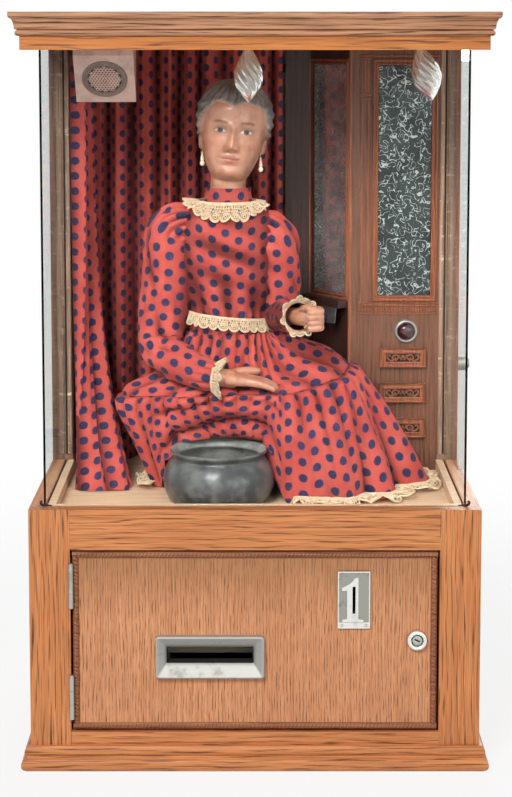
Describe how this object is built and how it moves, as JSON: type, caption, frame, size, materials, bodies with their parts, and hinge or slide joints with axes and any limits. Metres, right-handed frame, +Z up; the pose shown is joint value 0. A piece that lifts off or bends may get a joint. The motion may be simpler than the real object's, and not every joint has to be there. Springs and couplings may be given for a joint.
{
  "type": "fortune teller machine",
  "caption": "Coin-operated fortune teller: oak base with coin door, glazed case and a seated figure that turns the head and lifts a hand as a card is given out.",
  "frame": {"origin": "centre of the bounding box at the underside of the base", "axes": "+X to the viewer's right, +Y to the back of the cabinet, +Z up"},
  "size_m": [0.57, 0.4013, 0.909],
  "materials": {
    "oak": "varnished open-grained oak",
    "pale_wood": "bare plywood and softwood",
    "dark_wood": "dark stained, worn",
    "plated_metal": "worn nickel plate",
    "steel": "plain mild steel",
    "brass": "dull brass",
    "black_iron": "satin black pot",
    "black_paint": "black enamel",
    "card_stock": "plain card",
    "black_plastic": "black moulded",
    "window_glass": "clear float glass",
    "obscured_mirror": "dark mirror with a pale crackle",
    "lens_glass": "deep garnet dome",
    "speaker_paint": "worn grey-brown paint",
    "lamp_ceramic": "white porcelain",
    "bulb_glass": "ribbed clear glass",
    "dotted_cloth": "red cotton with navy polka dots",
    "painted_skin": "painted and varnished plaster",
    "pearl": "imitation pearl"
  },
  "bodies": {
    "root": {"base_sides": "oak", "face_stiles": "oak", "face_rails": "oak", "plinth_moulding": "oak", "frieze_boards": "oak", "crown_moulding": "oak", "top_board": "oak", "back_box_frame": "oak", "base_back": "pale_wood", "base_bottom": "pale_wood", "stage_floor": "pale_wood", "glazing_rails": "pale_wood", "curtain_rail": "pale_wood", "figure_frame": "pale_wood", "right_panel": "dark_wood", "angled_panel": "dark_wood", "frame_hinge_leaves": "plated_metal", "hinge_pins": "plated_metal", "key_switch_body": "plated_metal", "card_magazine": "steel", "cauldron": "black_iron", "cash_box": "black_paint", "gear_motor": "black_paint", "card_stack": "card_stock", "power_inlet": "black_plastic", "front_glass": "window_glass", "side_glasses": "window_glass", "mirror_glasses": "obscured_mirror", "indicator_lens": "lens_glass", "speaker_box": "speaker_paint", "speaker_grille": "speaker_paint", "lamp_holders": "lamp_ceramic", "lamp_bulbs": "bulb_glass", "curtains": "dotted_cloth", "bodice": "dotted_cloth", "skirt": "dotted_cloth", "right_hand": "painted_skin"},
    "front_door": {"door_panel": "oak", "door_edging": "dark_wood", "door_hinge_leaves": "plated_metal", "coin_plate": "plated_metal", "card_bezel": "plated_metal", "lock_housing": "plated_metal", "coin_chute": "steel"},
    "front_lock": {"lock_plug": "plated_metal"},
    "rear_door": {"rear_door": "pale_wood", "rear_hinge_leaves": "plated_metal"},
    "rear_button": {"rear_turn_button": "brass"},
    "key_switch": {"key_switch_plug": "plated_metal"},
    "head": {"head": "painted_skin", "neck_spindle": "steel"},
    "earrings": {"earrings": "pearl"},
    "head_link": {"head_link": "steel"},
    "forearm": {"arm_shaft": "steel", "left_forearm_sleeve": "dotted_cloth", "left_hand": "painted_skin"},
    "arm_rod": {"arm_rod": "steel"},
    "motor_crank": {"motor_crank": "steel"},
    "coin_rocker": {"coin_rocker": "brass"},
    "card_pusher": {"card_pusher": "brass"}
  },
  "joints": [
    {"name": "front_door", "type": "hinge", "parent": "root", "child": "front_door", "pos_m": [-0.21975, -0.18895, 0.159], "axis": [0, 0, -1], "range_deg": [0, 110]},
    {"name": "front_lock", "type": "hinge", "parent": "front_door", "child": "front_lock", "pos_m": [0.1945, -0.18565, 0.16], "axis": [0, -1, 0], "range_deg": [0, 90]},
    {"name": "rear_door", "type": "hinge", "parent": "root", "child": "rear_door", "pos_m": [-0.25175, 0.19765, 0.585], "axis": [0, 0, 1], "range_deg": [0, 110]},
    {"name": "rear_button", "type": "hinge", "parent": "root", "child": "rear_button", "pos_m": [0.2615, 0.19435, 0.5925], "axis": [0, 1, 0], "range_deg": [0, 90]},
    {"name": "key_switch", "type": "hinge", "parent": "root", "child": "key_switch", "pos_m": [0.27, 0.08835, 0.448], "axis": [1, 0, 0], "range_deg": [0, 90]},
    {"name": "head_turn", "type": "hinge", "parent": "root", "child": "head", "pos_m": [-0.033, 0.00435, 0.68], "axis": [0, 0, 1], "range_deg": [-20, 20]},
    {"name": "earring_swing", "type": "hinge", "parent": "head", "child": "earrings", "pos_m": [-0.02986, 0.00435, 0.73484], "axis": [0.9945, 0, -0.1045], "range_deg": [-25, 25]},
    {"name": "head_link", "type": "hinge", "parent": "head", "child": "head_link", "pos_m": [-0.033, 0.03235, 0.258], "axis": [0, 0, 1], "range_deg": [-20, 20]},
    {"name": "forearm_lift", "type": "hinge", "parent": "root", "child": "forearm", "pos_m": [0.032, 0.00435, 0.526], "axis": [-1, 0, 0], "range_deg": [0, 18]},
    {"name": "arm_rod", "type": "slide", "parent": "root", "child": "arm_rod", "axis": [0, 0, 1], "range_m": [-0.0045, 0]},
    {"name": "motor_crank", "type": "hinge", "parent": "root", "child": "motor_crank", "pos_m": [0.087, 0.04193, 0.23], "axis": [0, 0, 1], "continuous": true},
    {"name": "coin_rocker", "type": "hinge", "parent": "front_door", "child": "coin_rocker", "pos_m": [0.126, -0.13265, 0.1345], "axis": [1, 0, 0], "range_deg": [0, 20], "stiffness_Nm_per_rad": 0.02, "springref_deg": -11.46},
    {"name": "card_pusher", "type": "slide", "parent": "root", "child": "card_pusher", "axis": [0, -1, 0], "range_m": [0, 0.04]}
  ],
  "couplings": [
    {"joint": "head_link", "follows": "head_turn", "ratio": -1},
    {"joint": "arm_rod", "follows": "forearm_lift", "m_per_rad": -0.014}
  ]
}
